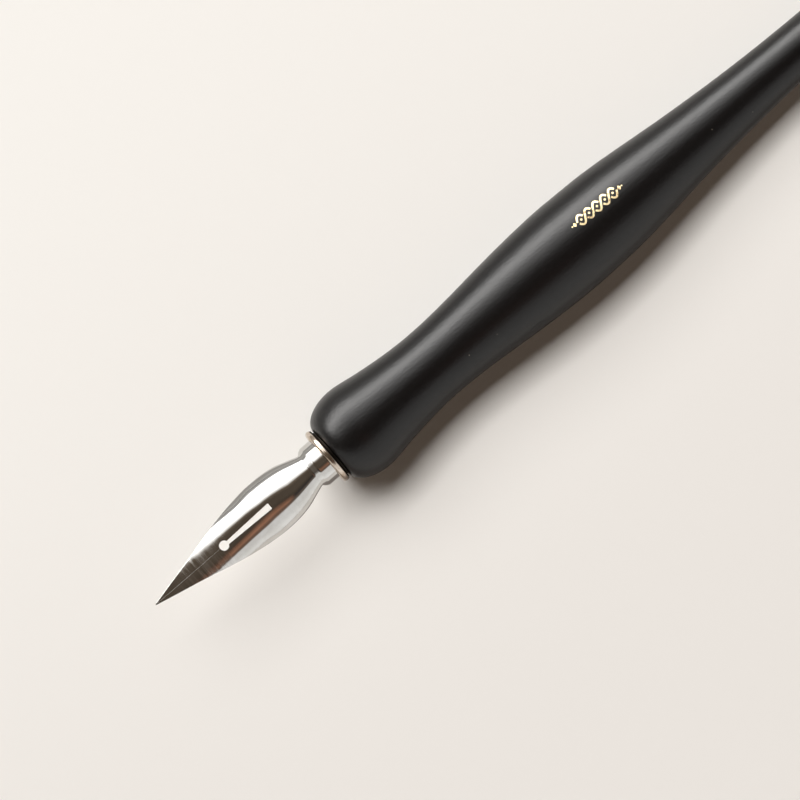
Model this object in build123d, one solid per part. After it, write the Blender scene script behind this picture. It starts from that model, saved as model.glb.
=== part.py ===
"""Dip pen: a turned wooden handle, a rolled-rim ferrule with a petal clip in it, and a steel nib.

Frame: +X runs along the pen's axis towards the nib's point and +Z is up, out of the nib's convex
face. The pen lies with its belly on Z = 0, and the origin is the bottom centre of its bounding box.
Each piece is built about the pen's axis and then lifted by the belly's radius. Millimetres.
"""

import os
from math import asin, cos, degrees, radians, sin

from build123d import *

# Whole pen, with distances along the axis measured back from the nib's point
OVERALL_LENGTH = 186.0
POINT_X = OVERALL_LENGTH / 2
RIM_FRONT = 27.0
HANDLE_FRONT = 28.08

# Handle: a rounded bulb, a waist for the fingers, a belly with a resting land behind it, a taper
# and a straight slender shaft
BULB_RADIUS = 5.85
BULB_AT = 4.5
NOSE_FLAT_RADIUS = 3.3
WAIST_RADIUS = 4.66
WAIST_AT = 16.6
BELLY_RADIUS = 5.94
BELLY_AT = 39.0
BELLY_LAND = 4.5
SHAFT_RADIUS = 3.1
SHAFT_START = 100.0
TAIL_ROUNDING = 2.9
TAIL_FLAT_RADIUS = 1.2
HANDLE_LENGTH = OVERALL_LENGTH - HANDLE_FRONT
BORE_DEPTH = 11.2
DRILL_POINT = 1.3

# Ferrule: a thin tube with its front edge curled outwards and its rear edge crimped inwards
SLEEVE_OUTER_RADIUS = 3.23
SLEEVE_WALL = 0.30
SLEEVE_INNER_RADIUS = SLEEVE_OUTER_RADIUS - SLEEVE_WALL
CURL_RADIUS = 0.46
CURL_SWEEP = 255.0
SLEEVE_REAR = 38.0
LIP_RADIUS = 1.9

# Petal clip: a base disc against the rear lip, with bowed petals standing forward from it
CLIP_SHEET = 0.20
PETAL_COUNT = 4
PETAL_SPREAD = 66.0
PETAL_LENGTH = 8.6
PETAL_CREST_AT = 4.7
PETAL_CREST_RADIUS = 2.56
PETAL_ROOT_RADIUS = 2.15
PETAL_TIP_RADIUS = 2.20
CLIP_HOLE_RADIUS = 0.9

# Nib: one sheet, rolled to a half tube at the tang and flatter over the body
SHEET = 0.25
TANG_RADIUS = 2.87
TANG_HALF_ANGLE = 88.0
TANG_FRONT = 25.5
TANG_REAR = 36.5
TANG_CORNER = 1.0
VENT_AT = 10.9
VENT_RADIUS = 0.60
SLOT_END = 18.2
SLOT_FRONT_WIDTH = 0.38
SLOT_REAR_WIDTH = 0.83
SLOT_CORNER = 0.12
SLIT_WIDTH = 0.04

# Body sections: distance from the point, half width, crown height over the axis, section radius
# and sheet thickness. The sheet is ground thinner towards the point.
BODY_SECTIONS = [
    (0.0, 0.08, 1.30, 9.00, 0.12),
    (3.0, 0.78, 1.64, 8.00, 0.16),
    (6.1, 1.48, 1.97, 6.90, 0.20),
    (9.0, 2.19, 2.24, 5.75, 0.24),
    (11.9, 2.87, 2.46, 5.00, SHEET),
    (14.2, 3.28, 2.59, 4.65, SHEET),
    (16.5, 3.55, 2.68, 4.45, SHEET),
    (18.5, 3.63, 2.73, 4.35, SHEET),
    (20.3, 3.52, 2.75, 4.15, SHEET),
    (21.8, 3.26, 2.73, 3.80, SHEET),
    (23.4, 2.73, 2.62, 3.20, SHEET),
    (24.8, 2.26, 2.44, 2.62, SHEET),
]


def x_at(from_point):
    """The X of a place given by its distance back from the nib's point."""
    return POINT_X - from_point


def turned(lines):
    """The solid that a closed outline of axial place and radius makes about the pen's axis."""
    return revolve(make_face(lines), axis=Axis.X)


def handle():
    """The wooden handle, turned in one piece and bored blind from the front for the ferrule."""

    def station(behind_front, radius):
        return (x_at(HANDLE_FRONT + behind_front), radius)

    along = (-1, 0)
    nose = EllipticalCenterArc(
        station(BULB_AT, NOSE_FLAT_RADIUS),
        BULB_AT,
        BULB_RADIUS - NOSE_FLAT_RADIUS,
        start_angle=0,
        arc_size=90,
    )
    grip = Spline(
        [
            station(BULB_AT, BULB_RADIUS),
            station(7.4, 5.50),
            station(11.1, 5.00),
            station(WAIST_AT, WAIST_RADIUS),
        ],
        tangents=[along, along],
    )
    swell = Spline(
        [
            station(WAIST_AT, WAIST_RADIUS),
            station(22.1, 4.88),
            station(28.2, 5.40),
            station(34.3, 5.81),
            station(BELLY_AT, BELLY_RADIUS),
        ],
        tangents=[along, along],
    )
    # The pen lies on its belly and its tail, so the belly's rear is turned to the slope between them
    tail_start = HANDLE_LENGTH - TAIL_ROUNDING
    rest_slope = (BELLY_RADIUS - SHAFT_RADIUS) / (tail_start - BELLY_AT)
    land_rear = BELLY_AT + BELLY_LAND
    land_radius = BELLY_RADIUS - BELLY_LAND * rest_slope
    belly = Line(station(BELLY_AT, BELLY_RADIUS), station(land_rear, land_radius))
    taper = Spline(
        [
            station(land_rear, land_radius),
            station(50.0, 5.34),
            station(56.0, 4.68),
            station(63.0, 4.04),
            station(72.0, 3.50),
            station(84.0, 3.22),
            station(SHAFT_START, SHAFT_RADIUS),
        ],
        tangents=[(-1, -rest_slope), along],
    )
    shaft = Line(station(SHAFT_START, SHAFT_RADIUS), station(tail_start, SHAFT_RADIUS))
    tail = EllipticalCenterArc(
        station(tail_start, TAIL_FLAT_RADIUS),
        TAIL_ROUNDING,
        SHAFT_RADIUS - TAIL_FLAT_RADIUS,
        start_angle=90,
        arc_size=90,
    )
    bored = Polyline(
        [
            station(HANDLE_LENGTH, TAIL_FLAT_RADIUS),
            station(HANDLE_LENGTH, 0),
            station(BORE_DEPTH + DRILL_POINT, 0),
            station(BORE_DEPTH, SLEEVE_OUTER_RADIUS),
            station(0, SLEEVE_OUTER_RADIUS),
            station(0, NOSE_FLAT_RADIUS),
        ]
    )
    return turned([nose, grip, swell, belly, taper, shaft, tail, bored])


def ferrule_sleeve():
    """The ferrule's tube: straight wall, front edge curled outwards, rear edge turned in."""
    curl_x = x_at(RIM_FRONT) - CURL_RADIUS
    curl_r = SLEEVE_INNER_RADIUS + CURL_RADIUS
    rear_x = x_at(SLEEVE_REAR)
    outside = CenterArc((curl_x, curl_r), CURL_RADIUS, -90, CURL_SWEEP)
    inside = CenterArc((curl_x, curl_r), CURL_RADIUS - SLEEVE_WALL, -90, CURL_SWEEP)
    wall = Polyline(
        [
            inside @ 0,
            (rear_x + SLEEVE_WALL, SLEEVE_OUTER_RADIUS),
            (rear_x, SLEEVE_INNER_RADIUS),
            (rear_x, LIP_RADIUS),
            (rear_x + SLEEVE_WALL, LIP_RADIUS),
            (rear_x + SLEEVE_WALL, SLEEVE_INNER_RADIUS),
            outside @ 0,
        ]
    )
    return turned([outside, Line(outside @ 1, inside @ 1), inside, wall])


def petal_clip():
    """The spring in the ferrule: a base disc with bowed petals that press on the nib's tang."""
    base_rear = x_at(SLEEVE_REAR) + SLEEVE_WALL
    base_front = base_rear + CLIP_SHEET
    petal_front = base_front + PETAL_LENGTH
    base = turned(
        Polyline(
            [
                (base_rear, CLIP_HOLE_RADIUS),
                (base_rear, SLEEVE_INNER_RADIUS),
                (base_front, SLEEVE_INNER_RADIUS),
                (base_front, CLIP_HOLE_RADIUS),
            ],
            close=True,
        )
    )
    outer = ThreePointArc(
        (base_front, PETAL_ROOT_RADIUS),
        (base_front + PETAL_CREST_AT, PETAL_CREST_RADIUS),
        (petal_front, PETAL_TIP_RADIUS),
    )
    inner = ThreePointArc(
        (base_front, PETAL_ROOT_RADIUS - CLIP_SHEET),
        (base_front + PETAL_CREST_AT, PETAL_CREST_RADIUS - CLIP_SHEET),
        (petal_front, PETAL_TIP_RADIUS - CLIP_SHEET),
    )
    section = make_face([outer, Line(outer @ 1, inner @ 1), inner, Line(inner @ 0, outer @ 0)])
    petal = revolve(section, axis=Axis.X, revolution_arc=PETAL_SPREAD)
    pitch = 360 / PETAL_COUNT
    petals = [Rot(X=pitch * index - PETAL_SPREAD / 2) * petal for index in range(PETAL_COUNT)]
    return base + petals


def sheet_section(from_point, half_width, crown, radius, sheet):
    """The nib's cut across the axis: an arched strip with its ends square to the sheet."""
    spread = degrees(asin(half_width / radius))
    across = Plane(origin=(x_at(from_point), 0, crown - radius), x_dir=(0, 1, 0), z_dir=(1, 0, 0))
    outer = CenterArc((0, 0), radius, 90 - spread, 2 * spread)
    inner = CenterArc((0, 0), radius - sheet, 90 - spread, 2 * spread)
    ends = [Line(outer @ 0, inner @ 0), Line(inner @ 1, outer @ 1)]
    return across * make_face([outer, ends[0], inner, ends[1]])


def nib():
    """The nib, stamped from one sheet: tines, vent and slot, arched body, narrow neck and tang."""
    body = loft([sheet_section(*row) for row in BODY_SECTIONS])
    tang_half_width = TANG_RADIUS * sin(radians(TANG_HALF_ANGLE))
    tang_row = (tang_half_width, TANG_RADIUS, TANG_RADIUS, SHEET)
    shoulder = loft(
        [sheet_section(*BODY_SECTIONS[-1]), sheet_section(TANG_FRONT, *tang_row)],
        ruled=True,
    )
    tang = extrude(sheet_section(TANG_REAR, *tang_row), amount=TANG_REAR - TANG_FRONT, dir=(1, 0, 0))

    rear = x_at(TANG_REAR)
    edge_height = TANG_RADIUS * cos(radians(TANG_HALF_ANGLE)) - SHEET
    corner = Plane.XZ * make_face(
        Polyline(
            [
                (rear - SHEET, edge_height),
                (rear + TANG_CORNER, edge_height),
                (rear - SHEET, edge_height + TANG_CORNER + SHEET),
            ],
            close=True,
        )
    )
    corners = extrude(corner, amount=2 * TANG_RADIUS, both=True)

    vent = Pos(x_at(VENT_AT), 0, TANG_RADIUS) * Cylinder(VENT_RADIUS, 4 * TANG_RADIUS)
    slot_outline = make_face(
        Polyline(
            [
                (x_at(VENT_AT), -SLOT_FRONT_WIDTH / 2),
                (x_at(SLOT_END), -SLOT_REAR_WIDTH / 2),
                (x_at(SLOT_END), SLOT_REAR_WIDTH / 2),
                (x_at(VENT_AT), SLOT_FRONT_WIDTH / 2),
            ],
            close=True,
        )
    )
    slot_outline = fillet(slot_outline.vertices().sort_by(Axis.X)[:2], SLOT_CORNER)
    slot = extrude(slot_outline, amount=2 * TANG_RADIUS)
    slit = Pos(x_at(VENT_AT / 2), 0, TANG_RADIUS / 2) * Box(VENT_AT + 1, SLIT_WIDTH, 2 * TANG_RADIUS)
    return body + shoulder + tang - corners - vent - slot - slit


PIECES = {
    "handle": handle,
    "ferrule_sleeve": ferrule_sleeve,
    "petal_clip": petal_clip,
    "nib": nib,
}

os.makedirs("parts", exist_ok=True)
for name, build in PIECES.items():
    export_step(Pos(0, 0, BELLY_RADIUS) * build(), f"parts/{name}.step")
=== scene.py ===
"""Looks of the dip pen: fine meshes, materials, ornament, floor, light and camera, around the frame.

Row frame, metres: +X runs along the pen's axis towards the nib's point, +Z is up, and the pen lies
on Z = 0. Meshes are worked out in millimetres about the pen's axis, then scaled and lifted.
"""

import math

import bmesh
import bpy
import numpy as np
from mathutils import Matrix, Vector


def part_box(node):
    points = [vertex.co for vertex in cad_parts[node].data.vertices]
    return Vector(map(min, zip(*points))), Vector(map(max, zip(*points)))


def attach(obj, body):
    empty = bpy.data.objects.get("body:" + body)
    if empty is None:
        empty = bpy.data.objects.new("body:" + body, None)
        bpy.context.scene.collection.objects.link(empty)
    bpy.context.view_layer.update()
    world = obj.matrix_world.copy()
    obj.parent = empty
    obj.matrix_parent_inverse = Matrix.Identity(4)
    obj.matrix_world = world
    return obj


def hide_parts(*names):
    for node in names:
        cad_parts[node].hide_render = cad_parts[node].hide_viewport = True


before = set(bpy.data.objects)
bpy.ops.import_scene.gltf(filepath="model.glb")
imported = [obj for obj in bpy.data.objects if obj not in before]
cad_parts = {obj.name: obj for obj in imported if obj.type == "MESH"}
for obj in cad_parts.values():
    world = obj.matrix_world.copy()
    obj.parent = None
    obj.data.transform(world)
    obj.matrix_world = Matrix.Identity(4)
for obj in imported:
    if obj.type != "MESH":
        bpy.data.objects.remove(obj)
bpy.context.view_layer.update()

MM = 0.001
POINT_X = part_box("nib")[1].x / MM
AXIS_Z = (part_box("handle")[0].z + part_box("handle")[1].z) / 2 / MM
TAIL_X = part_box("handle")[0].x / MM


# Camera: nearly overhead, the nib to the lower left

def make_camera():
    """Looks down on the front half of the pen, tipped a little towards the nib's end."""
    tip_towards_nib = math.radians(3.8)
    axis_in_picture = math.radians(220.95)
    looked_at = Vector((POINT_X - 38.65, 0.65, AXIS_Z)) * MM
    across_frame = 97.6 * MM
    lens, sensor = 135.0, 36.0

    back = Vector((math.sin(tip_towards_nib), 0, math.cos(tip_towards_nib)))
    along = Vector((math.cos(tip_towards_nib), 0, -math.sin(tip_towards_nib)))
    side = back.cross(along)
    right = math.cos(axis_in_picture) * along - math.sin(axis_in_picture) * side
    up = math.sin(axis_in_picture) * along + math.cos(axis_in_picture) * side
    data = bpy.data.cameras.new("camera")
    data.lens = lens
    data.sensor_width = sensor
    data.clip_start, data.clip_end = 0.01, 20.0
    camera = bpy.data.objects.new("camera", data)
    turn = Matrix((right, up, back)).transposed()
    place = looked_at + back * (across_frame * lens / sensor)
    camera.matrix_world = Matrix.Translation(place) @ turn.to_4x4()
    bpy.context.scene.collection.objects.link(camera)
    bpy.context.scene.camera = camera


make_camera()


# Curves through stations

def cubic(knots, values, start_slope=None, end_slope=None):
    """A smooth curve through the values at the knots, as a function. Free ends are natural."""
    knots = np.asarray(knots, float)
    values = np.asarray(values, float).reshape(len(knots), -1)
    gaps = np.diff(knots)
    steps = np.diff(values, axis=0) / gaps[:, None]
    last = len(knots) - 1
    matrix = np.zeros((last + 1, last + 1))
    right = np.zeros_like(values)
    for i in range(1, last):
        matrix[i, i - 1], matrix[i, i + 1] = gaps[i - 1], gaps[i]
        matrix[i, i] = 2 * (gaps[i - 1] + gaps[i])
        right[i] = 6 * (steps[i] - steps[i - 1])
    matrix[0, 0] = matrix[last, last] = 1
    if start_slope is not None:
        matrix[0, 0], matrix[0, 1] = 2 * gaps[0], gaps[0]
        right[0] = 6 * (steps[0] - np.asarray(start_slope, float))
    if end_slope is not None:
        matrix[last, last], matrix[last, last - 1] = 2 * gaps[-1], gaps[-1]
        right[last] = 6 * (np.asarray(end_slope, float) - steps[-1])
    bend = np.linalg.solve(matrix, right)

    def at(where):
        where = np.atleast_1d(np.asarray(where, float))
        i = np.clip(np.searchsorted(knots, where, side="right") - 1, 0, last - 1)
        gap = gaps[i][:, None]
        before = (where - knots[i])[:, None]
        after = (knots[i + 1] - where)[:, None]
        curve = bend[i] * after**3 / (6 * gap) + bend[i + 1] * before**3 / (6 * gap)
        curve += (values[i] / gap - bend[i] * gap / 6) * after
        curve += (values[i + 1] / gap - bend[i + 1] * gap / 6) * before
        return curve

    return at


def through(points, start, end, count):
    """Points along a smooth curve through the given ones, leaving and arriving in given directions."""
    points = np.asarray(points, float)
    knots = np.concatenate([[0], np.cumsum(np.linalg.norm(np.diff(points, axis=0), axis=1))])
    start, end = (np.asarray(v, float) / np.linalg.norm(v) for v in (start, end))
    return cubic(knots, points, start, end)(np.linspace(0, knots[-1], count))


# Meshes

def make_piece(name, points, faces, material, body, sharp=35):
    """A mesh piece from points in millimetres about the pen's axis, riding on its body."""
    mesh = bpy.data.meshes.new(name)
    placed = (np.asarray(points, float) + (0, 0, AXIS_Z)) * MM
    mesh.from_pydata(placed.tolist(), [], [list(map(int, face)) for face in faces])
    work = bmesh.new()
    work.from_mesh(mesh)
    bmesh.ops.remove_doubles(work, verts=work.verts, dist=2e-7)
    bmesh.ops.dissolve_degenerate(work, dist=1e-7, edges=work.edges)
    bmesh.ops.recalc_face_normals(work, faces=work.faces)
    work.to_mesh(mesh)
    work.free()
    mesh.shade_smooth()
    mesh.set_sharp_from_angle(angle=math.radians(sharp))
    mesh.materials.append(material)
    piece = bpy.data.objects.new(name, mesh)
    bpy.context.scene.collection.objects.link(piece)
    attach(piece, body)
    return piece


def lathe(profile, turns):
    """Points and faces of a closed outline of (x, radius), turned about the axis."""
    profile = np.asarray(profile, float)
    angles = np.linspace(0, 2 * math.pi, turns, endpoint=False)
    x = np.repeat(profile[:, 0], turns)
    y = np.outer(profile[:, 1], np.sin(angles)).ravel()
    z = np.outer(profile[:, 1], np.cos(angles)).ravel()
    rows = len(profile)
    faces = []
    for row in range(rows):
        below = (row + 1) % rows
        if profile[row, 1] < 1e-9 and profile[below, 1] < 1e-9:
            continue
        for turn in range(turns):
            beside = (turn + 1) % turns
            faces.append(
                (
                    row * turns + turn,
                    row * turns + beside,
                    below * turns + beside,
                    below * turns + turn,
                )
            )
    return np.stack([x, y, z], axis=1), faces


# Materials

def sockets(tree, kind, inputs=None, **settings):
    """A node of this kind, with its settings, and its inputs given as values or linked sockets."""
    node = tree.nodes.new("ShaderNode" + kind)
    for name, value in settings.items():
        setattr(node, name, value)
    for name, value in (inputs or {}).items():
        if isinstance(value, bpy.types.NodeSocket):
            tree.links.new(value, node.inputs[name])
        else:
            node.inputs[name].default_value = value
    return node


def math_node(tree, operation, first, second=0.0, third=0.0, clamp=False):
    """A Math node on one, two or, for MULTIPLY_ADD, three values or sockets."""
    inputs = {0: first, 1: second}
    if operation == "MULTIPLY_ADD":
        inputs[2] = third
    return sockets(tree, "Math", inputs, operation=operation, use_clamp=clamp).outputs[0]


def ramp(tree, factor, stops):
    """A straight colour ramp through (place, colour) stops. A colour is a grey or a triple."""
    node = sockets(tree, "ValToRGB", {"Fac": factor})
    elements = node.color_ramp.elements
    while len(elements) > 1:
        elements.remove(elements[-1])
    for index, (place, colour) in enumerate(stops):
        element = elements[0] if index == 0 else elements.new(place)
        element.position = place
        triple = (colour, colour, colour) if isinstance(colour, (int, float)) else colour
        element.color = (*triple, 1)
    return node.outputs["Color"]


def between(tree, value, low, high, to_low=0.0, to_high=1.0, smooth=True):
    """Maps a value's range low..high to another, clamped, with soft or straight ends."""
    inputs = {"Value": value, "From Min": low, "From Max": high, "To Min": to_low, "To Max": to_high}
    kind = "SMOOTHSTEP" if smooth else "LINEAR"
    return sockets(tree, "MapRange", inputs, interpolation_type=kind).outputs["Result"]


def place_mm(tree):
    """The place on the pen, in millimetres about its axis, as a vector and its X, Y and Z."""
    here = sockets(tree, "TexCoord").outputs["Object"]
    scale = (1 / MM, 1 / MM, 1 / MM)
    mapped = sockets(tree, "Mapping", {"Vector": here, "Scale": scale, "Location": (0, 0, -AXIS_Z)})
    parts = sockets(tree, "SeparateXYZ", {"Vector": mapped.outputs[0]}).outputs
    return mapped.outputs[0], parts["X"], parts["Y"], parts["Z"]


def stretched(tree, vector, scale):
    """The vector scaled by its own amount along each axis."""
    return sockets(tree, "Mapping", {"Vector": vector, "Scale": scale}).outputs[0]


def noise(tree, vector, scale, detail, roughness):
    """Procedural noise, about 0.5 on average."""
    inputs = {"Vector": vector, "Scale": scale, "Detail": detail, "Roughness": roughness}
    return sockets(tree, "TexNoise", inputs).outputs["Fac"]


def mix(tree, factor, first, second):
    """Mixes two colours, given as sockets or triples."""
    node = tree.nodes.new("ShaderNodeMix")
    node.data_type = "RGBA"
    for socket, value in ((node.inputs[0], factor), (node.inputs[6], first), (node.inputs[7], second)):
        if isinstance(value, bpy.types.NodeSocket):
            tree.links.new(value, socket)
        elif isinstance(value, (int, float)):
            socket.default_value = value
        else:
            socket.default_value = (*value, 1)
    return node.outputs[2]


def bump(tree, height, strength, distance, normal=None):
    """A normal tilted by the height, on top of another normal where one is given."""
    inputs = {"Height": height, "Strength": strength, "Distance": distance}
    if normal is not None:
        inputs["Normal"] = normal
    return sockets(tree, "Bump", inputs).outputs["Normal"]


def new_material(name):
    """A material with an empty node tree but for its Principled shader and output."""
    material = bpy.data.materials.new(name)
    material.use_nodes = True
    tree = material.node_tree
    tree.nodes.clear()
    shader = tree.nodes.new("ShaderNodeBsdfPrincipled")
    output = tree.nodes.new("ShaderNodeOutputMaterial")
    tree.links.new(shader.outputs["BSDF"], output.inputs["Surface"])
    return material, tree, shader


def feed(tree, shader, **links):
    """Sets or links the shader's inputs, named with underscores for spaces."""
    for name, value in links.items():
        socket = shader.inputs[name.replace("_", " ")]
        if isinstance(value, bpy.types.NodeSocket):
            tree.links.new(value, socket)
        else:
            socket.default_value = value


def lacquer():
    """Satin black lacquer over turned wood: faint lengthwise grain, a fine bloom and some dust."""
    material, tree, shader = new_material("satin_black_lacquer")
    nick_x, nick_turn, radius_there, nick_bow = 35.9, math.radians(57.6), 5.45, 0.22
    here, x, y, z = place_mm(tree)
    grain = noise(tree, stretched(tree, here, (0.25, 3.0, 3.0)), 1.0, 4.0, 0.6)
    bloom = noise(tree, here, 3.2, 3.0, 0.65)
    cloud = noise(tree, here, 0.16, 2.0, 0.5)
    dust_cells = sockets(tree, "TexVoronoi", {"Vector": here, "Scale": 0.42, "Randomness": 1.0})
    dust_size = noise(tree, here, 0.9, 1.0, 0.5)
    dust = math_node(tree, "LESS_THAN", dust_cells.outputs["Distance"], 0.030)
    dust = math_node(tree, "MULTIPLY", dust, between(tree, dust_size, 0.46, 0.54))
    round_pen = math_node(tree, "ARCTAN2", y, z)
    across = math_node(tree, "MULTIPLY_ADD", round_pen, radius_there, -radius_there * nick_turn)
    along = math_node(tree, "SUBTRACT", x, nick_x)
    squared = math_node(tree, "MULTIPLY", along, along)
    bow = math_node(tree, "MULTIPLY_ADD", squared, -nick_bow, across)
    nick = between(tree, math_node(tree, "ABSOLUTE", bow), 0.035, 0.10, 1.0, 0.0)
    nick_ends = between(tree, math_node(tree, "ABSOLUTE", along), 0.7, 1.15, 1.0, 0.0)
    nick = math_node(tree, "MULTIPLY", nick, nick_ends)
    black = mix(tree, cloud, (0.0012, 0.0008, 0.0011), (0.0024, 0.0018, 0.0020))
    colour = mix(tree, dust, black, (0.20, 0.18, 0.15))
    worn = between(tree, bloom, 0.3, 0.7, 0.30, 0.355)
    rough = math_node(tree, "MULTIPLY_ADD", grain, 0.05, math_node(tree, "SUBTRACT", worn, 0.025))
    relief = math_node(tree, "MULTIPLY_ADD", grain, 0.6, bloom)
    satin = bump(tree, relief, 0.20, 0.0001)
    dent = math_node(tree, "MULTIPLY", nick, -1.0)
    rough = math_node(tree, "MULTIPLY_ADD", nick, 0.25, rough)
    feed(
        tree,
        shader,
        Base_Color=colour,
        Roughness=rough,
        Normal=bump(tree, dent, 0.9, 0.00006, satin),
        IOR=1.46,
    )
    return material


# Behind the nib's point: the ferrule's rim, then the front of the wood
RIM_FRONT, HANDLE_FRONT = 27.0, 28.08


def nickel():
    """Warm nickel plate, a little tarnished, with fine marks round the ring, and painted shade in the
    gap behind the rim.
    """
    material, tree, shader = new_material("warm_nickel")
    gap_front = POINT_X - RIM_FRONT - 0.62
    wood_front = POINT_X - HANDLE_FRONT
    here, x, *_ = place_mm(tree)
    rings = noise(tree, stretched(tree, here, (14.0, 0.5, 0.5)), 1.0, 3.0, 0.6)
    patches = noise(tree, here, 0.9, 3.0, 0.6)
    plate = mix(tree, between(tree, patches, 0.35, 0.65), (0.50, 0.40, 0.31), (0.68, 0.60, 0.52))
    # Painted shade: the tube between the rim and the wood's front is painted near black, and made
    # rougher.
    in_gap = between(tree, x, gap_front, gap_front - 0.12)
    inside = between(tree, x, wood_front - 0.6, wood_front - 0.2, 1.0, 0.0)
    gap_shade = math_node(tree, "SUBTRACT", in_gap, inside, clamp=True)
    colour = mix(tree, gap_shade, plate, (0.035, 0.028, 0.022))
    rough = between(tree, rings, 0.3, 0.7, 0.12, 0.26)
    rough = math_node(tree, "MULTIPLY_ADD", gap_shade, 0.35, rough)
    feed(
        tree,
        shader,
        Base_Color=colour,
        Roughness=rough,
        Normal=bump(tree, rings, 0.12, 0.0001),
        Metallic=1.0,
    )
    return material


def spring_steel():
    """Grey rolled spring steel, stained in places, for the clip in the ferrule."""
    material, tree, shader = new_material("spring_steel")
    here, *_ = place_mm(tree)
    rolled = noise(tree, stretched(tree, here, (0.6, 8.0, 8.0)), 1.0, 3.0, 0.6)
    stain = noise(tree, here, 0.8, 3.0, 0.6)
    colour = mix(tree, between(tree, stain, 0.35, 0.7), (0.50, 0.48, 0.45), (0.36, 0.33, 0.30))
    feed(
        tree,
        shader,
        Base_Color=colour,
        Roughness=between(tree, rolled, 0.3, 0.7, 0.24, 0.40),
        Normal=bump(tree, rolled, 0.15, 0.0001),
        Metallic=1.0,
    )
    return material


def chrome():
    """Bright plated steel, cross-ground in front of the vent, with light handling marks."""
    material, tree, shader = new_material("nib_chrome")
    here, x, *_ = place_mm(tree)
    from_point = math_node(tree, "SUBTRACT", POINT_X, x)
    wander = noise(tree, here, 0.8, 1.0, 0.5)
    edge_place = math_node(tree, "MULTIPLY_ADD", wander, 1.6, from_point)
    entering = between(tree, edge_place, 3.4, 5.2)
    leaving = between(tree, edge_place, 9.6, 13.2, 1.0, 0.0)
    ground = math_node(tree, "MULTIPLY", entering, leaving)
    fine = noise(tree, stretched(tree, here, (7.0, 0.16, 0.16)), 1.0, 3.0, 0.7)
    coarse = noise(tree, stretched(tree, here, (2.4, 0.10, 0.10)), 1.0, 2.0, 0.6)
    lines = math_node(tree, "MULTIPLY_ADD", coarse, 0.5, math_node(tree, "MULTIPLY", fine, 0.6))
    lines = between(tree, lines, 0.47, 0.70)
    cut = math_node(tree, "MULTIPLY", lines, ground)
    smudge = noise(tree, here, 0.55, 3.0, 0.6)
    scuffs = noise(tree, stretched(tree, here, (0.7, 7.0, 7.0)), 1.0, 4.0, 0.7)
    plated = mix(tree, between(tree, smudge, 0.35, 0.7), (0.655, 0.648, 0.635), (0.60, 0.59, 0.57))
    colour = mix(tree, cut, plated, (0.80, 0.79, 0.77))
    base_rough = between(tree, scuffs, 0.35, 0.75, 0.045, 0.10)
    rough = math_node(tree, "MULTIPLY_ADD", cut, 0.14, base_rough)
    rough = math_node(tree, "MULTIPLY_ADD", ground, 0.03, rough)
    relief = math_node(tree, "MULTIPLY_ADD", cut, 0.55, math_node(tree, "MULTIPLY", scuffs, 0.06))
    feed(
        tree,
        shader,
        Base_Color=colour,
        Roughness=rough,
        Normal=bump(tree, relief, 0.16, 0.0001),
        Metallic=1.0,
    )
    return material


def gold():
    """Pressed gold foil, thin in places where handling has worn it."""
    material, tree, shader = new_material("gold_foil")
    here, *_ = place_mm(tree)
    wear = noise(tree, here, 2.4, 3.0, 0.6)
    crumple = noise(tree, here, 9.0, 2.0, 0.5)
    colour = mix(tree, between(tree, wear, 0.52, 0.68), (0.93, 0.76, 0.45), (0.36, 0.24, 0.12))
    feed(
        tree,
        shader,
        Base_Color=colour,
        Roughness=between(tree, crumple, 0.3, 0.7, 0.30, 0.48),
        Normal=bump(tree, crumple, 0.25, 0.00005),
        Metallic=between(tree, wear, 0.60, 0.74, 1.0, 0.3),
    )
    return material


LACQUER = lacquer()
NICKEL = nickel()
STEEL = spring_steel()
CHROME = chrome()
GOLD = gold()


# Handle: the same turned profile as the frame's, in fine steps

BULB_RADIUS, BULB_AT, NOSE_FLAT_RADIUS = 5.85, 4.5, 3.3
WAIST_RADIUS, WAIST_AT = 4.66, 16.6
BELLY_RADIUS, BELLY_AT, BELLY_LAND = 5.94, 39.0, 4.5
SHAFT_RADIUS, SHAFT_START = 3.1, 100.0
TAIL_ROUNDING, TAIL_FLAT_RADIUS = 2.9, 1.2
BORE_RADIUS, BORE_DEPTH, DRILL_POINT = 3.23, 11.2, 1.3
HANDLE_LENGTH = POINT_X - TAIL_X - HANDLE_FRONT
TAIL_START = HANDLE_LENGTH - TAIL_ROUNDING
REST_SLOPE = (BELLY_RADIUS - SHAFT_RADIUS) / (TAIL_START - BELLY_AT)


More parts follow.
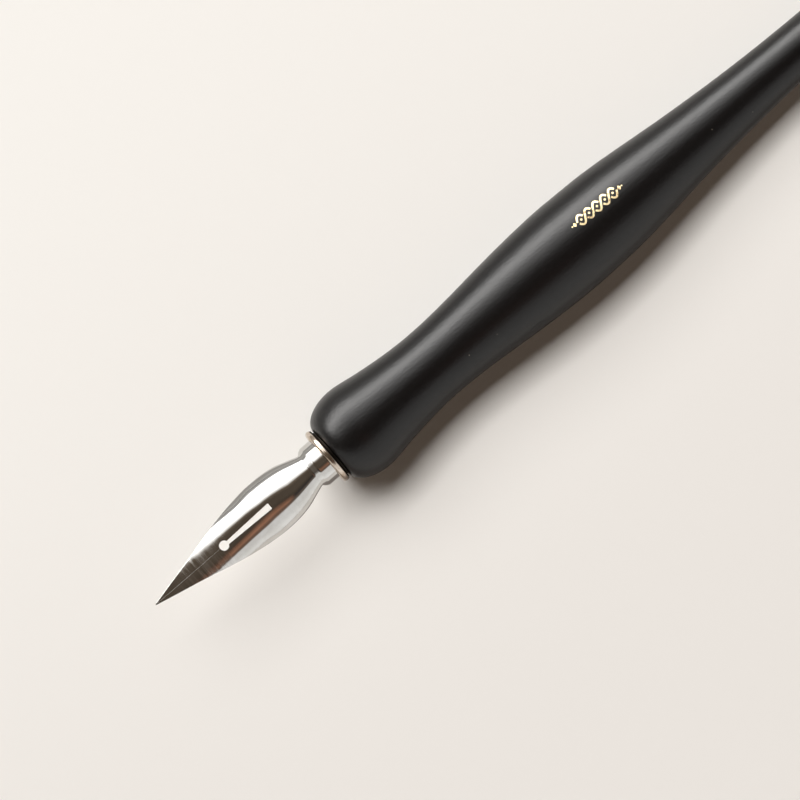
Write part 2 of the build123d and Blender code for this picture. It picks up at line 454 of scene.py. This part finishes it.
def handle_outline():
    """The handle's outline as (distance behind its front, radius), from the bore's mouth round."""
    quarter = np.linspace(0, math.pi / 2, 28)
    nose = np.stack(
        [
            BULB_AT * (1 - np.cos(quarter)),
            NOSE_FLAT_RADIUS + (BULB_RADIUS - NOSE_FLAT_RADIUS) * np.sin(quarter),
        ],
        axis=1,
    )
    grip = through(
        [(BULB_AT, BULB_RADIUS), (7.4, 5.50), (11.1, 5.00), (WAIST_AT, WAIST_RADIUS)],
        (1, 0),
        (1, 0),
        26,
    )
    swell = through(
        [
            (WAIST_AT, WAIST_RADIUS),
            (22.1, 4.88),
            (28.2, 5.40),
            (34.3, 5.81),
            (BELLY_AT, BELLY_RADIUS),
        ],
        (1, 0),
        (1, 0),
        34,
    )
    land_rear = (BELLY_AT + BELLY_LAND, BELLY_RADIUS - BELLY_LAND * REST_SLOPE)
    taper = through(
        [
            land_rear,
            (50.0, 5.34),
            (56.0, 4.68),
            (63.0, 4.04),
            (72.0, 3.50),
            (84.0, 3.22),
            (SHAFT_START, SHAFT_RADIUS),
        ],
        (1, -REST_SLOPE),
        (1, 0),
        70,
    )
    shaft = np.stack([np.linspace(SHAFT_START, TAIL_START, 12), np.full(12, SHAFT_RADIUS)], axis=1)
    tail = np.stack(
        [
            TAIL_START + TAIL_ROUNDING * np.sin(quarter[::2]),
            TAIL_FLAT_RADIUS + (SHAFT_RADIUS - TAIL_FLAT_RADIUS) * np.cos(quarter[::2]),
        ],
        axis=1,
    )
    ends = [(HANDLE_LENGTH, TAIL_FLAT_RADIUS), (HANDLE_LENGTH, 0), (BORE_DEPTH + DRILL_POINT, 0)]
    bore = [(BORE_DEPTH, BORE_RADIUS), (4.0, BORE_RADIUS), (0, BORE_RADIUS)]
    return np.concatenate([nose, grip[1:], swell[1:], taper, shaft[1:], tail[1:], ends[1:], bore])


outline = handle_outline()
handle_points, handle_faces = lathe(
    np.stack([POINT_X - HANDLE_FRONT - outline[:, 0], outline[:, 1]], axis=1), 176
)
handle = make_piece("turned_handle", handle_points, handle_faces, LACQUER, "holder")
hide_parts("handle")


# Ferrule

SLEEVE_REAR = 38.0
SLEEVE_OUTER, SLEEVE_WALL, LIP_RADIUS = 3.23, 0.30, 1.9
CURL_RADIUS, CURL_SWEEP = 0.46, 255.0


def ferrule_outline():
    """The ferrule's closed outline as (x, radius): curl, tube and rear lip."""
    inner = SLEEVE_OUTER - SLEEVE_WALL
    centre = (POINT_X - RIM_FRONT - CURL_RADIUS, inner + CURL_RADIUS)
    sweep = np.radians(np.linspace(-90, -90 + CURL_SWEEP, 40))
    turn = np.stack([np.cos(sweep), np.sin(sweep)], axis=1)
    outside = centre + CURL_RADIUS * turn
    inside = centre + (CURL_RADIUS - SLEEVE_WALL) * turn[::-1]
    rear = POINT_X - SLEEVE_REAR
    wall = [
        (rear + SLEEVE_WALL + 0.1, SLEEVE_OUTER),
        (rear + SLEEVE_WALL * 0.35, SLEEVE_OUTER - 0.08),
        (rear, inner - 0.05),
        (rear, LIP_RADIUS),
        (rear + SLEEVE_WALL, LIP_RADIUS),
        (rear + SLEEVE_WALL, inner),
    ]
    return np.concatenate([outside, inside, wall])


ferrule_points, ferrule_faces = lathe(ferrule_outline(), 160)
ferrule = make_piece(
    "rolled_ferrule", ferrule_points, ferrule_faces, NICKEL, "holder"
)
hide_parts("ferrule_sleeve")

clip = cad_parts["petal_clip"].data
clip.materials.clear()
clip.materials.append(STEEL)


# Nib: one arched sheet, with rounded edges, slit, vent, slot, shoulder and tang

TANG_RADIUS, TANG_HALF_ANGLE = 2.87, math.radians(88)
TANG_FRONT, TANG_REAR, TANG_CORNER, SHEET = 25.5, 36.5, 1.0, 0.25
VENT_AT, VENT_RADIUS = 10.9, 0.60
SLOT_END, SLOT_CORNER = 18.2, 0.12
SLOT_FRONT_HALF, SLOT_REAR_HALF, SLIT_HALF = 0.19, 0.415, 0.006

# Distance from the point, half width, crown height over the axis, section radius, sheet thickness
BODY_SECTIONS = [
    (0.0, 0.08, 1.30, 9.00, 0.12),
    (3.0, 0.78, 1.64, 8.00, 0.16),
    (6.1, 1.48, 1.97, 6.90, 0.20),
    (9.0, 2.19, 2.24, 5.75, 0.24),
    (11.9, 2.87, 2.46, 5.00, SHEET),
    (14.2, 3.28, 2.59, 4.65, SHEET),
    (16.5, 3.55, 2.68, 4.45, SHEET),
    (18.5, 3.63, 2.73, 4.35, SHEET),
    (20.3, 3.52, 2.75, 4.15, SHEET),
    (21.8, 3.26, 2.73, 3.80, SHEET),
    (23.4, 2.73, 2.62, 3.20, SHEET),
    (24.8, 2.26, 2.44, 2.62, SHEET),
]
body_curve = cubic([row[0] for row in BODY_SECTIONS], [row[1:] for row in BODY_SECTIONS])

# Where the crown is pressed flatter, rising and falling, by how much, and the sides' extra bend
FLAT_FROM_TO, FLATTER, SIDE_BEND = [4.5, 8.5, 14.5, 18.0], 0.30, 0.005

# The shoulder: its start and its middle, and how far its two bends are rounded
NECK_AT, SHOULDER_MIDDLE, SHOULDER_ROUND = 24.68, 25.1, 0.11

# Roundings: the point seen from above, the sheet's outer edges, and its edges at the slot
POINT_LENGTH, OUTER_ROUND, SLOT_ROUND = 0.2, 0.055, 0.05

# Points in a row: across one half's face, on the slot's edge, and across the middle strip
HALF_COLUMNS, WALL_POINTS, MIDDLE_COLUMNS = 26, 5, 7


def body_section(s):
    """The body's sheet at s: half angle, crown, radius, thickness and extra bend at its sides."""
    half, crown, radius, sheet = body_curve(s)[0]
    flat_crown = float(np.interp(s, FLAT_FROM_TO, [0, 1, 1, 0]))
    flat_crown = flat_crown**2 * (3 - 2 * flat_crown)
    radius *= 1 + FLATTER * flat_crown
    return np.array([math.asin(half / radius), crown, radius, sheet, SIDE_BEND * flat_crown])


def exact_section(s):
    """The same anywhere along the nib: body, then the shoulder, then the tang."""
    if s <= NECK_AT:
        return body_section(s)
    neck = body_section(NECK_AT)
    tang = np.array([TANG_HALF_ANGLE, TANG_RADIUS, TANG_RADIUS, SHEET, 0])
    part = min(1.0, (s - NECK_AT) / (TANG_FRONT - NECK_AT))
    return neck + (tang - neck) * part


def section(s):
    """The section at s, with the pressed shoulder's two bends a little rounded."""
    past_bends = max(0.0, abs(s - SHOULDER_MIDDLE) - 0.7)
    reach = SHOULDER_ROUND * max(0.0, 1 - past_bends / 0.6)
    if reach == 0:
        return exact_section(s)
    return np.mean([exact_section(s + reach * k) for k in np.linspace(-1, 1, 9)], axis=0)


def inner_edge(s):
    """Half the width of the opening at s: the slit, the vent or the slot."""
    widening = (SLOT_REAR_HALF - SLOT_FRONT_HALF) / (SLOT_END - VENT_AT)
    behind = s - VENT_AT
    opening = SLIT_HALF
    if abs(behind) < VENT_RADIUS:
        opening = max(opening, math.sqrt(VENT_RADIUS**2 - behind**2))
    if behind > 0:
        slot = SLOT_FRONT_HALF + widening * behind
        over = s - (SLOT_END - SLOT_CORNER)
        if over > 0:
            slot += math.sqrt(max(0.0, SLOT_CORNER**2 - over**2)) - SLOT_CORNER
        opening = max(opening, slot)
    return opening


def nib_rows():
    """The places along the nib at which its section is worked out."""
    vent = VENT_AT - VENT_RADIUS * np.cos(np.linspace(0, math.pi, 25))
    corner = SLOT_END - SLOT_CORNER + SLOT_CORNER * np.sin(np.linspace(0, math.pi / 2, 7))
    return np.unique(
        np.round(
            np.concatenate(
                [
                    [0, 0.012, 0.04, 0.08, 0.13, 0.2],
                    np.linspace(0.3, 10.2, 45),
                    vent,
                    np.linspace(11.6, 18.0, 27),
                    corner,
                    np.linspace(18.35, 23.4, 30),
                    np.linspace(23.5, 26.2, 55),
                    np.linspace(26.5, 35.4, 20),
                    np.linspace(35.5, 36.5, 9),
                ]
            ),
            6,
        )
    )


def drawn_in(s, spread):
    """The half angle at s, drawn in at the rounded point and at the tang's rear corners."""
    if s < POINT_LENGTH:
        spread *= math.sqrt(max(0.02, 1 - (1 - s / POINT_LENGTH) ** 2))
    if s > TANG_REAR - TANG_CORNER:
        lowest = TANG_RADIUS * math.cos(TANG_HALF_ANGLE) - SHEET
        height = lowest + s - (TANG_REAR - TANG_CORNER)
        spread = min(spread, math.acos(height / TANG_RADIUS))
    return spread


def sheet_row(s):
    """A closed loop round the cut of the sheet's +Y half at s, and the middle strip's two faces.

    The middle strip lies between the two halves, and is used where the sheet is whole.
    """
    spread, crown, radius, sheet, bend = section(s)
    spread = drawn_in(s, spread)
    open_half = inner_edge(s) if s <= SLOT_END else SLOT_REAR_HALF - SLOT_CORNER
    inner_round = min(SLOT_ROUND, 0.3 * (open_half - 0.01)) if s < SLOT_END - 0.02 else 0.0
    inner_round = max(inner_round, 0.0)
    outer_round = min(OUTER_ROUND, 0.3 * radius * spread, 0.4 * sheet)
    start = math.asin(min(1, open_half / radius))
    first = start + inner_round / radius
    last = max(first + 1e-4, spread - outer_round / radius)

    def at(angle, depth):
        """The point at an angle from the crown, at a depth under the sheet's upper face."""
        y = radius * math.sin(angle)
        z = crown - radius + radius * math.cos(angle) - bend * y**4
        lean = math.atan(math.tan(min(angle, 1.5)) + 4 * bend * y**3) if bend else angle
        return (POINT_X - s, y - depth * math.sin(lean), z - depth * math.cos(lean))

    def rounding(part):
        """The outer edge's rounding, at a part of its way out: the angle and the depth."""
        lean = math.asin(part)
        out = outer_round * math.sin(lean)
        return last + out / radius, outer_round * (1 - math.cos(lean))

    angles = first + (last - first) * np.linspace(0, 1, HALF_COLUMNS)
    loop = [at(a, 0) for a in angles]
    loop += [at(*rounding(part)) for part in (0.3, 0.6, 0.8, 0.95)]
    loop += [at(last + outer_round / radius, depth) for depth in (outer_round, sheet - outer_round)]
    for angle, depth in (rounding(0.8), rounding(0.4)):
        loop.append(at(angle, sheet - depth))
    loop += [at(a, sheet) for a in angles[::-1]]
    for turn, depth in ((0.3, 0), (0.0, 0.3), (0.0, 1.0)):
        loop.append(at(start + turn * inner_round / radius, sheet - depth * inner_round))
    loop.append(at(start, inner_round))
    loop.append(at(start + 0.3 * inner_round / radius, 0.3 * inner_round))
    across = np.linspace(-start, start, MIDDLE_COLUMNS)
    return loop, [at(a, 0) for a in across] + [at(a, sheet) for a in across]


def nib_mesh():
    """The nib's points and faces: two mirrored halves, joined by the middle behind the slot."""
    rows = nib_rows()
    loops, strips = zip(*(sheet_row(s) for s in rows))
    whole = [s >= SLOT_END - 1e-6 for s in rows]
    points, faces = [], []
    per_row = len(loops[0])
    wall = range(per_row - WALL_POINTS - 1, per_row)
    for side in (1, -1):
        base = len(points)
        for loop in loops:
            points += [(x, side * y, z) for x, y, z in loop]
        for row in range(len(rows) - 1):
            for k in range(per_row):
                if k in wall and whole[row]:
                    continue
                a, b = base + row * per_row + k, base + row * per_row + (k + 1) % per_row
                faces.append((a, b, b + per_row, a + per_row))
        faces.append(tuple(base + k for k in range(per_row)))
        final = base + (len(rows) - 1) * per_row
        faces.append(tuple(final + k for k in range(per_row) if k not in wall[1:]))
    middle = [strip for strip, joined in zip(strips, whole) if joined]
    base, per_strip = len(points), 2 * MIDDLE_COLUMNS
    for strip in middle:
        points += strip
    for row in range(len(middle) - 1):
        for k in range(MIDDLE_COLUMNS - 1):
            for shift in (0, MIDDLE_COLUMNS):
                a = base + per_strip * row + shift + k
                faces.append((a, a + 1, a + per_strip + 1, a + per_strip))
    for row in (0, len(middle) - 1):
        for k in range(MIDDLE_COLUMNS - 1):
            a = base + per_strip * row + k
            faces.append((a, a + 1, a + MIDDLE_COLUMNS + 1, a + MIDDLE_COLUMNS))
    return points, faces


nib_points, nib_faces = nib_mesh()
nib = make_piece("arched_nib", nib_points, nib_faces, CHROME, "nib", sharp=32)
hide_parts("nib")


# Ornament: a twist of two gold strands with a dot in each loop and a lozenge at each end

def handle_radius_at(x):
    """The handle's radius at a place along the axis."""
    outer = outline[: np.argmax(outline[:, 0]) + 1]
    return np.interp(POINT_X - HANDLE_FRONT - x, outer[:, 0], outer[:, 1])


def ornament():
    """Thin closed strips laid on the lacquer, a little over the top towards -Y."""
    centre_x = POINT_X - HANDLE_FRONT - 43.6
    centre_angle = -math.radians(14.4)
    sunk, proud = -0.02, 0.022
    loops, pitch, height, width = 5, 1.26, 0.68, 0.25
    length = loops * pitch
    strip_points = 14
    points, faces = [], []

    def on_lacquer(along, across, lift):
        """A place on the handle, from the ornament's centre, lifted off the lacquer."""
        x = centre_x + along
        radius = handle_radius_at(x)
        angle = centre_angle + across / radius
        return (x, (radius + lift) * math.sin(angle), (radius + lift) * math.cos(angle))

    def lay(line):
        """A flat strip along a line of (along, across) points."""
        ahead = np.gradient(line, axis=0)
        ahead /= np.linalg.norm(ahead, axis=1)[:, None]
        left = np.stack([-ahead[:, 1], ahead[:, 0]], axis=1)
        base = len(points)
        for middle, aside in zip(line, left):
            for side, lift in ((-1, sunk), (-1, proud), (1, proud), (1, sunk)):
                points.append(on_lacquer(*(middle + side * aside * width / 2), lift))
        for i in range(len(line) - 1):
            for k in range(4):
                a, b = base + 4 * i + k, base + 4 * i + (k + 1) % 4
                faces.append((a, b, b + 4, a + 4))
        for end in (base, base + 4 * (len(line) - 1)):
            faces.append((end, end + 1, end + 2, end + 3))

    def pad(at, long, tall, corners):
        """A small flat pad on the centre line: a lozenge with four corners, a dot with many."""
        turn = np.linspace(0, 2 * math.pi, corners, endpoint=False)
        ring = [(at + long / 2 * math.cos(t), tall / 2 * math.sin(t)) for t in turn]
        base = len(points)
        for lift in (sunk, proud):
            points.extend(on_lacquer(along, across, lift) for along, across in ring)
        for k in range(corners):
            beside = (k + 1) % corners
            faces.append((base + k, base + beside, base + corners + beside, base + corners + k))
        faces.append(tuple(base + k for k in range(corners)))
        faces.append(tuple(base + corners + k for k in range(corners)))

    for strand in (1, -1):
        for k in range(loops + 1):
            over = (k % 2 == 0) == (strand == 1)
            low = -length / 2 + (k - 0.5) * pitch
            cut = 0.0 if over else 0.17
            halves = [(low, low + pitch / 2 - cut), (low + pitch / 2 + cut, low + pitch)]
            if k == 0:
                halves = halves[1:]
            if k == loops:
                halves = halves[:1]
            if over and 0 < k < loops:
                halves = [(low, low + pitch)]
            for begin, stop in halves:
                along = np.linspace(begin, stop, strip_points)
                across = strand * height * np.sin(math.pi * (along + length / 2) / pitch)
                lay(np.stack([along, across], axis=1))
    for k in range(loops):
        pad(-length / 2 + (k + 0.5) * pitch, 0.30, 0.30, 12)
    for end in (-1, 1):
        pad(end * (length / 2 + 0.40), 0.52, 0.62, 4)
        pad(end * (length / 2 + 0.80), 0.20, 0.20, 10)
    return points, faces


ornament_points, ornament_faces = ornament()
gold_ornament = make_piece(
    "gold_ornament", ornament_points, ornament_faces, GOLD, "holder", sharp=30
)


# Floor, light and world

REST_TILT = math.atan(REST_SLOPE)
DAYLIGHT, WARM = (1.0, 0.985, 0.965), (1.0, 0.77, 0.60)


def make_floor():
    """A pale floor, which the belly and the tail both touch, painted paler towards the lights on -Y.
    The pen mirrors it with darker bands, painted into the floor for glossy rays only: a painted dark
    far side and a painted shadow.
    """
    material, tree, shader = new_material("floor")
    here = sockets(tree, "TexCoord").outputs["Object"]
    parts = sockets(tree, "SeparateXYZ", {"Vector": here}).outputs
    # Painted light: the floor's colour grows paler towards -Y, the side the lights stand on.
    far = between(tree, parts["Y"], 0.05, -0.08)
    pale = mix(tree, far, (0.882, 0.856, 0.824), (0.957, 0.940, 0.907))
    # Painted reflection and painted shadow: in glossy rays only, the floor is painted dark past 21 mm
    # on the -Y side, and painted as shadow in a band 4 to 27 mm out on the +Y side.
    mirrored = sockets(tree, "LightPath").outputs["Is Glossy Ray"]
    painted_dark_far_side = math_node(tree, "MULTIPLY", between(tree, parts["Y"], -0.021, -0.028), mirrored)
    colour = mix(tree, painted_dark_far_side, pale, (0.33, 0.32, 0.30))
    shadow_from = between(tree, parts["Y"], 0.004, 0.009)
    shadow_to = between(tree, parts["Y"], 0.019, 0.027, 1.0, 0.0)
    shadow = math_node(tree, "MULTIPLY", shadow_from, shadow_to)
    colour = mix(tree, math_node(tree, "MULTIPLY", shadow, mirrored), colour, (0.30, 0.27, 0.25))
    feed(tree, shader, Base_Color=colour, Roughness=0.7, Specular_IOR_Level=0.05)
    bpy.ops.mesh.primitive_plane_add(size=6.0)
    floor = bpy.context.active_object
    floor.name = "floor"
    belly_x = (POINT_X - HANDLE_FRONT - BELLY_AT) * MM
    floor.location = (belly_x, 0, 0)
    floor.rotation_euler = (0, REST_TILT, 0)
    floor.data.materials.append(material)


def make_light(name, zenith, spread, long, power, colour, passes=None):
    """A soft light for matt surfaces. Gloss takes its light from the world.

    It stands at an angle from straight up towards -Y, spreads over an angle across the pen, and has a
    length along it. A piece that it passes throws no shadow in it.
    """
    distance = 2.4
    data = bpy.data.lights.new(name, "AREA")
    data.shape = "RECTANGLE"
    data.size = long
    data.size_y = 2 * distance * math.tan(math.radians(spread) / 2)
    data.energy = power
    data.color = colour
    light = bpy.data.objects.new(name, data)
    angle = math.radians(zenith)
    away = Vector((0, -math.sin(angle), math.cos(angle)))
    along = Vector((1, 0, 0))
    turn = Matrix((along, away.cross(along), away)).transposed()
    light.matrix_world = Matrix.Translation(away * distance) @ turn.to_4x4()
    light.visible_glossy = False
    light.visible_camera = False
    bpy.context.scene.collection.objects.link(light)
    if passes is not None:
        unshaded = bpy.data.collections.new(name + "_passes")
        unshaded.objects.link(passes)
        unshaded.collection_objects[0].light_linking.link_state = "EXCLUDE"
        light.light_linking.blocker_collection = unshaded


def make_world():
    """What gloss and metal mirror: one softbox on the -Y side in a dark room, a pale far side.

    Directions are in degrees: turn about the pen's axis, 0 straight up and positive towards +Y, and
    lean along it, positive towards the nib's point.
    """
    bright = 8.6
    world = bpy.data.worlds.new("room")
    bpy.context.scene.world = world
    world.use_nodes = True
    tree = world.node_tree
    tree.nodes.clear()
    towards = sockets(tree, "TexCoord").outputs["Generated"]
    parts = sockets(tree, "SeparateXYZ", {"Vector": towards}).outputs
    turn = math_node(tree, "ARCTAN2", parts["Y"], parts["Z"])
    turn = math_node(tree, "MULTIPLY", turn, 180 / math.pi)
    lean = math_node(tree, "MULTIPLY", math_node(tree, "ARCSINE", parts["X"]), 180 / math.pi)

    lean_place = between(tree, lean, -20, 20, smooth=False)
    # (lean, how far the tones near the top move round), so that they wander as in a real room
    shift_stops = [(-20, 10), (-10, 11), (-4, 12), (-1, 6), (2, -4), (5, -2), (9, 3), (20, 5)]
    shift = ramp(tree, lean_place, [((a + 20) / 40, (b + 20) / 40) for a, b in shift_stops])
    shift = math_node(tree, "MULTIPLY_ADD", shift, 40.0, -20.0)
    rising, falling = between(tree, turn, -60, 0), between(tree, turn, 0, 50, 1.0, 0.0)
    near_top = math_node(tree, "MULTIPLY", rising, falling)
    moved = math_node(tree, "SUBTRACT", turn, math_node(tree, "MULTIPLY", shift, near_top))
    place = between(tree, moved, -180, 180, smooth=False)

    dark = (0.105, 0.081, 0.060)
    dim = (0.36, 0.35, 0.33)
    pale = (0.86, 0.845, 0.82)
    room = (0.17, 0.145, 0.12)
    box = tuple(bright * c for c in DAYLIGHT)

    def sky(brown, brown_late):
        """The tones round the pen: softbox, dark room, two brown tones and the pale far side."""
        stops = [
            (-180, dim),
            (-88, dim),
            (-82, (0.55, 0.54, 0.52)),
            (-77, (1.3, 1.28, 1.25)),
            (-73, box),
            (-52, box),
            (-45, tuple(0.28 * c for c in box)),
            (-31, tuple(0.20 * c for c in box)),
            (-27, (1.0, 0.98, 0.94)),
            (-23, tuple(1.8 * c for c in dark)),
            (-15, dark),
            (4, dark),
            (15, tuple(0.75 * c for c in dark)),
            (24, tuple(0.8 * c for c in brown)),
            (29, brown),
            (35, brown_late),
            (40, tuple(0.8 * c for c in brown_late)),
            (45, pale),
            (62, pale),
            (80, tuple(1.2 * c for c in pale)),
            (180, pale),
        ]
        scaled = [((a + 180) / 360, tuple(c / bright for c in colour)) for a, colour in stops]
        return ramp(tree, place, scaled)

    # The brown tone is a narrow strip. Elsewhere along the pen the same place is nearly black.
    grain = noise(tree, stretched(tree, towards, (9.0, 30.0, 9.0)), 1.0, 2.0, 0.6)
    with_brown = sky((0.42, 0.205, 0.125), (0.22, 0.125, 0.085))
    without = sky((0.06, 0.05, 0.045), (0.14, 0.11, 0.09))
    strip_from, strip_to = between(tree, lean, -4.5, -1.0), between(tree, lean, 7.0, 14.0, 1.0, 0.0)
    strip = math_node(tree, "MULTIPLY", strip_from, strip_to)
    strip = math_node(tree, "MULTIPLY", strip, between(tree, grain, 0.3, 0.6, 0.55, 1.0))
    colour = mix(tree, strip, without, with_brown)
    # Past the ends of the softbox and the dark part, only the room and the pale side are left
    left = between(tree, lean, -44, -32)
    right = between(tree, lean, 42, 56, 1.0, 0.0)
    inside = math_node(tree, "MULTIPLY", left, right)
    ends = [tuple(c / bright for c in tone) for tone in (room, pale)]
    edge = mix(tree, between(tree, turn, 30, 45), *ends)
    colour = mix(tree, inside, edge, colour)
    background = sockets(tree, "Background", {"Color": colour, "Strength": bright})
    output = tree.nodes.new("ShaderNodeOutputWorld")
    tree.links.new(background.outputs[0], output.inputs["Surface"])
    world.cycles_visibility.diffuse = False  # Matt surfaces are lit by the lights alone
    world.cycles.sampling_method = "MANUAL"
    world.cycles.sample_map_resolution = 1024


bpy.context.scene.view_settings.view_transform = "Standard"
make_floor()
make_light("key", 25.5, 22, 1.66, 45.5, DAYLIGHT, passes=nib)
make_light("key_wide", 44, 30, 2.2, 22.5, DAYLIGHT)
make_light("fill", -38, 70, 3.7, 7.9, WARM)
make_world()
